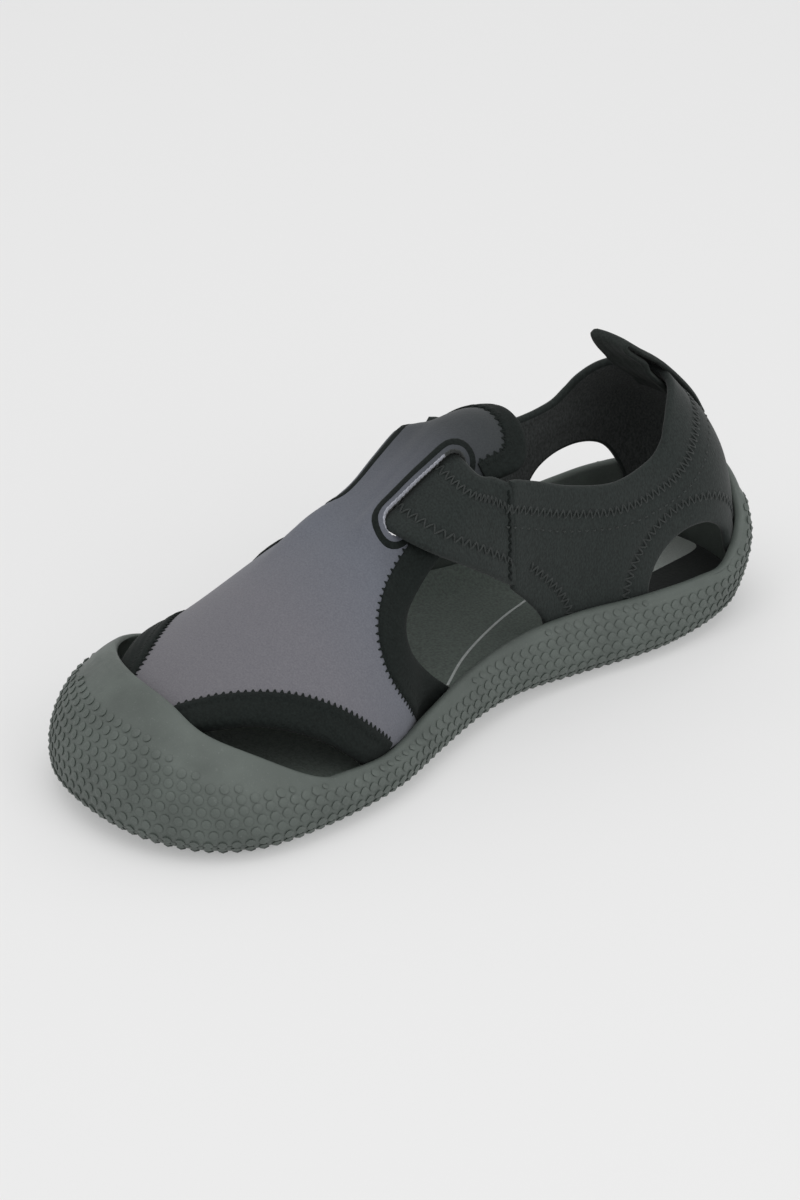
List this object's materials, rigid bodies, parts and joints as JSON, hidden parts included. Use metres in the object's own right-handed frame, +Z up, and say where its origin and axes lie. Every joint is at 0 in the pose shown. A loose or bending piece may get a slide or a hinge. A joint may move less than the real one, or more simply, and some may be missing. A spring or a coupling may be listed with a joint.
{
  "type": "water shoe",
  "caption": "Child's closed-toe water shoe for the right foot: rubber cup sole with a toe cap, neoprene upper with cut-outs, a strap through the tongue and a heel loop.",
  "frame": {"origin": "on the floor under the middle of the shoe's box", "axes": "+Z up; the toe points to -Y and the heel to +Y; +X is the inner (medial) side of the foot"},
  "size_m": [0.0734, 0.1778, 0.0682],
  "materials": {
    "rubber": "matte moulded rubber, dark grey-green",
    "footbed": "matte fabric",
    "printed_neoprene": "matte printed neoprene, purple-grey fading to blue-black",
    "black_neoprene": "matte neoprene",
    "tape": "matte woven tape"
  },
  "bodies": {
    "root": {"outsole": "rubber", "insole": "footbed", "upper_vamp": "printed_neoprene", "upper_quarter": "black_neoprene", "strap": "black_neoprene", "pull_tab": "tape", "binding_toe_medial": "tape", "binding_toe_lateral": "tape", "binding_side_medial": "tape", "binding_side_lateral": "tape", "binding_tongue": "tape"}
  },
  "joints": []
}
